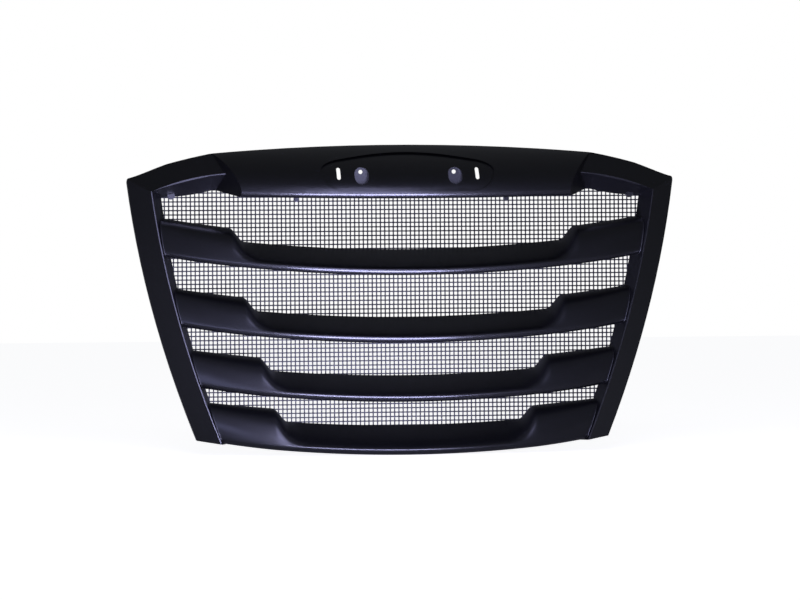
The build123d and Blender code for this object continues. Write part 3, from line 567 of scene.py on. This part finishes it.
def grain_group() -> bpy.types.NodeTree:
    """Builds the moulded grain: fine pebbling, a slow unevenness of the gloss and a little dust.

    Returns:
        The node group, with a Height, a Roughness and a Dust output.
    """
    group = bpy.data.node_groups.new("moulded_grain", "ShaderNodeTree")
    socket(group, "Grain Scale", "INPUT", "NodeSocketFloat", 900.0)
    socket(group, "Roughness", "INPUT", "NodeSocketFloat", 0.4)
    socket(group, "Unevenness", "INPUT", "NodeSocketFloat", 0.06)
    socket(group, "Height", "OUTPUT", "NodeSocketFloat")
    socket(group, "Roughness", "OUTPUT", "NodeSocketFloat")
    socket(group, "Dust", "OUTPUT", "NodeSocketFloat")
    nodes, links = group.nodes, group.links
    given = nodes.new("NodeGroupInput")
    out = nodes.new("NodeGroupOutput")
    place = nodes.new("ShaderNodeTexCoord")
    pebble = nodes.new("ShaderNodeTexNoise")
    pebble.inputs["Detail"].default_value = 3.0
    links.new(place.outputs["Object"], pebble.inputs["Vector"])
    links.new(given.outputs["Grain Scale"], pebble.inputs["Scale"])
    links.new(pebble.outputs["Fac"], out.inputs["Height"])
    flow = nodes.new("ShaderNodeTexNoise")
    flow.inputs["Scale"].default_value = 9.0
    flow.inputs["Detail"].default_value = 4.0
    links.new(place.outputs["Object"], flow.inputs["Vector"])
    centred = nodes.new("ShaderNodeMath")
    centred.operation = "SUBTRACT"
    centred.inputs[1].default_value = 0.5
    links.new(flow.outputs["Fac"], centred.inputs[0])
    scaled = nodes.new("ShaderNodeMath")
    scaled.operation = "MULTIPLY"
    links.new(centred.outputs[0], scaled.inputs[0])
    links.new(given.outputs["Unevenness"], scaled.inputs[1])
    total = nodes.new("ShaderNodeMath")
    total.operation = "ADD"
    links.new(scaled.outputs[0], total.inputs[0])
    links.new(given.outputs["Roughness"], total.inputs[1])
    links.new(total.outputs[0], out.inputs["Roughness"])
    speck = nodes.new("ShaderNodeTexNoise")
    speck.inputs["Scale"].default_value = 140.0
    speck.inputs["Detail"].default_value = 6.0
    links.new(place.outputs["Object"], speck.inputs["Vector"])
    ramp = nodes.new("ShaderNodeMapRange")
    ramp.inputs["From Min"].default_value = 0.56
    ramp.inputs["From Max"].default_value = 0.78
    links.new(speck.outputs["Fac"], ramp.inputs["Value"])
    links.new(ramp.outputs["Result"], out.inputs["Dust"])
    return group


@dataclass(frozen=True)
class Finish:
    """A surface finish: colours, gloss and the strength of its grain."""

    coat: Coat
    base: Colour
    dust: Colour
    roughness: float
    metallic: float = 0.0
    specular: float = 0.5
    clear: float = 0.0
    clear_roughness: float = 0.2
    grain_scale: float = 900.0
    grain: float = 0.08
    unevenness: float = 0.06
    dust_amount: float = 0.10

    def material(self, group: bpy.types.NodeTree) -> bpy.types.Material:
        """Makes the material.

        Args:
            group: The shared grain group.

        Returns:
            A node material named after the coat.
        """
        made = bpy.data.materials.new("finish_" + self.coat.value)
        made.use_nodes = True
        nodes, links = made.node_tree.nodes, made.node_tree.links
        shader = nodes["Principled BSDF"]
        shader.inputs["Metallic"].default_value = self.metallic
        shader.inputs["Specular IOR Level"].default_value = self.specular
        shader.inputs["Coat Weight"].default_value = self.clear
        shader.inputs["Coat Roughness"].default_value = self.clear_roughness
        grain = nodes.new("ShaderNodeGroup")
        grain.node_tree = group
        grain.inputs["Grain Scale"].default_value = self.grain_scale
        grain.inputs["Roughness"].default_value = self.roughness
        grain.inputs["Unevenness"].default_value = self.unevenness
        share = nodes.new("ShaderNodeMath")
        share.operation = "MULTIPLY"
        share.inputs[1].default_value = self.dust_amount
        links.new(grain.outputs["Dust"], share.inputs[0])
        mix = nodes.new("ShaderNodeMix")
        mix.data_type = "RGBA"
        mix.inputs["A"].default_value = self.base
        mix.inputs["B"].default_value = self.dust
        links.new(share.outputs[0], mix.inputs["Factor"])
        links.new(mix.outputs["Result"], shader.inputs["Base Color"])
        links.new(grain.outputs["Roughness"], shader.inputs["Roughness"])
        bump = nodes.new("ShaderNodeBump")
        bump.inputs["Strength"].default_value = self.grain
        bump.inputs["Distance"].default_value = 0.0004
        links.new(grain.outputs["Height"], bump.inputs["Height"])
        links.new(bump.outputs["Normal"], shader.inputs["Normal"])
        return made


FINISHES = (
    Finish(
        Coat.SATIN, (0.0030, 0.0030, 0.0036, 1), (0.03, 0.03, 0.032, 1), 0.34,
        specular=0.5, clear=0.25, clear_roughness=0.16,
    ),
    Finish(Coat.SCREEN, (0.006, 0.006, 0.0065, 1), (0.05, 0.05, 0.05, 1), 0.5, specular=0.35),
    Finish(Coat.BAR, (0.01, 0.01, 0.011, 1), (0.06, 0.055, 0.05, 1), 0.42, clear=0.3),
    Finish(
        Coat.ZINC, (0.62, 0.6, 0.54, 1), (0.35, 0.33, 0.28, 1), 0.34,
        metallic=1.0, grain_scale=1600.0, dust_amount=0.3,
    ),
    Finish(
        Coat.BRACKET, (0.018, 0.018, 0.02, 1), (0.08, 0.075, 0.07, 1), 0.38, clear=0.4, grain=0.12
    ),
    Finish(
        Coat.RUBBER, (0.012, 0.012, 0.012, 1), (0.09, 0.09, 0.085, 1), 0.72,
        specular=0.3, grain=0.2, dust_amount=0.25,
    ),
)


def dress(obj: bpy.types.Object, material: bpy.types.Material) -> None:
    """Gives all of an object's faces one material.

    Args:
        obj: The object.
        material: Its material.
    """
    if obj.data.materials:
        for n in range(len(obj.data.materials)):
            obj.data.materials[n] = material
    else:
        obj.data.materials.append(material)


# ---- Studio --------------------------------------------------------------------------------
@dataclass(frozen=True)
class SoftBox:
    """A soft rectangular studio light, in metres and watts."""

    name: str
    place: Point
    aim: Point
    size: tuple[float, float]
    power: float
    tint: Point = (1.0, 1.0, 1.0)
    spread_deg: float = 180.0
    mirrored: bool = True


@dataclass
class Studio:
    """A pale floor, a white surround, soft lights and the camera. Lengths are in metres."""

    floor_z: float
    target: Vector
    distance: float = 9.6
    azimuth_deg: float = -7.0
    elevation_deg: float = 0.6
    roll_deg: float = -0.42
    frame_width: float = 2.133
    sensor: float = 36.0

    def camera(self) -> None:
        """Places the camera on its long lens and makes it the scene's camera."""
        data = bpy.data.cameras.new("camera")
        data.sensor_width = self.sensor
        data.lens = self.sensor * self.distance / self.frame_width
        cam = bpy.data.objects.new("camera", data)
        az, el = math.radians(self.azimuth_deg), math.radians(self.elevation_deg)
        way = Vector((math.sin(az) * math.cos(el), -math.cos(az) * math.cos(el), math.sin(el)))
        cam.location = self.target + way * self.distance
        turn = (-way).to_track_quat("-Z", "Y").to_matrix().to_4x4()
        roll = Matrix.Rotation(math.radians(self.roll_deg), 4, "Z")
        cam.matrix_world = Matrix.Translation(cam.location) @ turn @ roll
        bpy.context.scene.collection.objects.link(cam)
        bpy.context.scene.camera = cam

    def light(self, softbox: "SoftBox") -> None:
        """Adds a soft rectangular light.

        Args:
            softbox: The light's place, size and colour.
        """
        data = bpy.data.lights.new(softbox.name, "AREA")
        data.shape = "RECTANGLE"
        data.size, data.size_y = softbox.size
        data.energy = softbox.power
        data.color = softbox.tint
        data.spread = math.radians(softbox.spread_deg)
        lamp = bpy.data.objects.new(softbox.name, data)
        lamp.location = softbox.place
        way = Vector(softbox.aim) - Vector(softbox.place)
        lamp.rotation_euler = way.to_track_quat("-Z", "Y").to_euler()
        lamp.visible_glossy = softbox.mirrored
        lamp.visible_camera = False
        bpy.context.scene.collection.objects.link(lamp)

    def floor(self) -> None:
        """Lays the plain pale floor."""
        reach = 14.0
        corners = [(-reach, -reach), (reach, -reach), (reach, reach), (-reach, reach)]
        mesh = bpy.data.meshes.new("floor")
        mesh.from_pydata([(x, y, self.floor_z) for x, y in corners], [], [(0, 1, 2, 3)])
        obj = bpy.data.objects.new("floor", mesh)
        bpy.context.scene.collection.objects.link(obj)
        paper = bpy.data.materials.new("floor_paper")
        paper.use_nodes = True
        nodes, links = paper.node_tree.nodes, paper.node_tree.links
        shader = nodes["Principled BSDF"]
        shader.inputs["Base Color"].default_value = (0.9, 0.9, 0.92, 1)
        shader.inputs["Roughness"].default_value = 0.9
        shader.inputs["Specular IOR Level"].default_value = 0.1
        glow = nodes.new("ShaderNodeEmission")
        glow.inputs["Strength"].default_value = 0.88
        both = nodes.new("ShaderNodeAddShader")
        path = nodes.new("ShaderNodeLightPath")
        pick = nodes.new("ShaderNodeMixShader")
        links.new(shader.outputs[0], both.inputs[0])
        links.new(glow.outputs[0], both.inputs[1])
        links.new(path.outputs["Is Camera Ray"], pick.inputs["Fac"])
        links.new(shader.outputs[0], pick.inputs[1])
        links.new(both.outputs[0], pick.inputs[2])
        links.new(pick.outputs[0], nodes["Material Output"].inputs["Surface"])
        mesh.materials.append(paper)
        obj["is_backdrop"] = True

    def sky(self) -> None:
        """Makes the world white to look at and dimmer as a light."""
        world = bpy.data.worlds.new("studio")
        bpy.context.scene.world = world
        world.use_nodes = True
        nodes, links = world.node_tree.nodes, world.node_tree.links
        nodes.clear()
        seen = nodes.new("ShaderNodeBackground")
        seen.inputs["Strength"].default_value = 1.0
        lit = nodes.new("ShaderNodeBackground")
        lit.inputs["Color"].default_value = (0.86, 0.9, 1.0, 1)
        lit.inputs["Strength"].default_value = 0.10
        path = nodes.new("ShaderNodeLightPath")
        pick = nodes.new("ShaderNodeMixShader")
        out = nodes.new("ShaderNodeOutputWorld")
        seen.inputs["Color"].default_value = (1, 1, 1, 1)
        links.new(path.outputs["Is Camera Ray"], pick.inputs["Fac"])
        links.new(lit.outputs[0], pick.inputs[1])
        links.new(seen.outputs[0], pick.inputs[2])
        links.new(pick.outputs[0], out.inputs["Surface"])

    def build(self) -> None:
        """Sets up the whole studio."""
        self.floor()
        self.sky()
        for softbox in SOFT_BOXES:
            self.light(softbox)
        self.camera()
        bpy.context.scene.view_settings.view_transform = "Standard"


SOFT_BOXES = (
    SoftBox("near_card", (-0.1, -0.62, -0.395), (-0.1, -0.45, 0.6), (0.7, 0.5), 52, (0.60, 0.60, 1.0)),
    SoftBox("front_strip", (-0.2, -3.2, -0.1), (-0.1, 0.0, -0.05), (1.3, 0.6), 30, (0.58, 0.58, 1.0)),
    SoftBox("front_high", (-0.2, -3.2, 0.85), (-0.1, 0.0, 0.2), (1.3, 1.1), 20, (0.58, 0.58, 1.0)),
    SoftBox("far_card", (-0.12, -1.4, -0.395), (-0.12, -0.9, 0.6), (0.8, 1.0), 12, (0.56, 0.57, 1.0)),
    SoftBox("left_card", (-0.95, -0.75, -0.395), (-0.7, -0.3, 0.5), (0.5, 0.5), 2.5, (0.5, 0.52, 1.0)),
    SoftBox("front_fill", (-0.6, -3.6, 1.9), (0.0, 0.0, 0.0), (2.0, 1.0), 22, (0.95, 0.96, 1.0), 180, False),
)


# ---- The whole grille ----------------------------------------------------------------------
LOUVER_SIZES = (
    ("louver_1", 66.7, 69.0, 465.0),
    ("louver_2", -111.0, 66.5, 430.0),
    ("louver_3", -266.7, 66.5, 388.0),
    ("louver_4", -407.0, 74.0, 351.0),
)


@dataclass
class Grille:
    """Puts the finished pieces together on the CAD frame."""

    nodes: dict[str, bpy.types.Object]
    slots: dict[str, str]
    outline: Outline = field(default_factory=Outline)
    materials: dict[str, bpy.types.Material] = field(default_factory=dict)

    def make_materials(self) -> None:
        """Makes one material for each finish."""
        grain = grain_group()
        for finish in FINISHES:
            self.materials[finish.coat.value] = finish.material(grain)

    def add(self, obj: bpy.types.Object, coat: Coat, *stands_for: str) -> None:
        """Dresses a new piece, rides it on the root body and hides what it stands for.

        Args:
            obj: The piece.
            coat: Its finish.
            stands_for: Names of the CAD nodes that it replaces.
        """
        dress(obj, self.materials[coat.value])
        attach(obj, "root")
        if stands_for:
            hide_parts(*stands_for)
        LOG.info("%s: %d faces", obj.name, len(obj.data.polygons))

    def build_louvers(self) -> None:
        """Builds the four louvers."""
        for name, lip, height, block_x in LOUVER_SIZES:
            louver = Louver(name, lip, height, block_x, self.outline)
            self.add(louver.build(), Coat.SATIN, name)

    def build_screen(self) -> None:
        """Builds the bug screen's mesh and rim."""
        screen = BugScreen(self.outline)
        self.add(screen.build_mesh(), Coat.SCREEN, "screen_uprights", "screen_crossbars")
        self.add(screen.build_rim(), Coat.SCREEN, "screen_rim")

    def dress_nodes(self) -> None:
        """Gives the CAD nodes that stay their finishes."""
        for name, obj in self.nodes.items():
            dress(obj, self.materials[self.slots[name]])

    def build(self) -> None:
        """Builds and dresses everything."""
        self.make_materials()
        self.dress_nodes()
        self.build_louvers()
        self.build_screen()


def main() -> None:
    """Loads the frame, builds the grille and sets up the studio."""
    logging.basicConfig(level=logging.INFO, format="%(name)s: %(message)s")
    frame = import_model()
    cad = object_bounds()
    slots = {part["node"]: part["material_slot"] for part in frame["record"]["subparts"]}
    Grille(frame["nodes"], slots).build()
    lowest = cad[0]
    Studio(floor_z=lowest[2] - FLOOR_GAP, target=Vector(CAMERA_TARGET)).build()


if __name__ == "__main__":
    main()
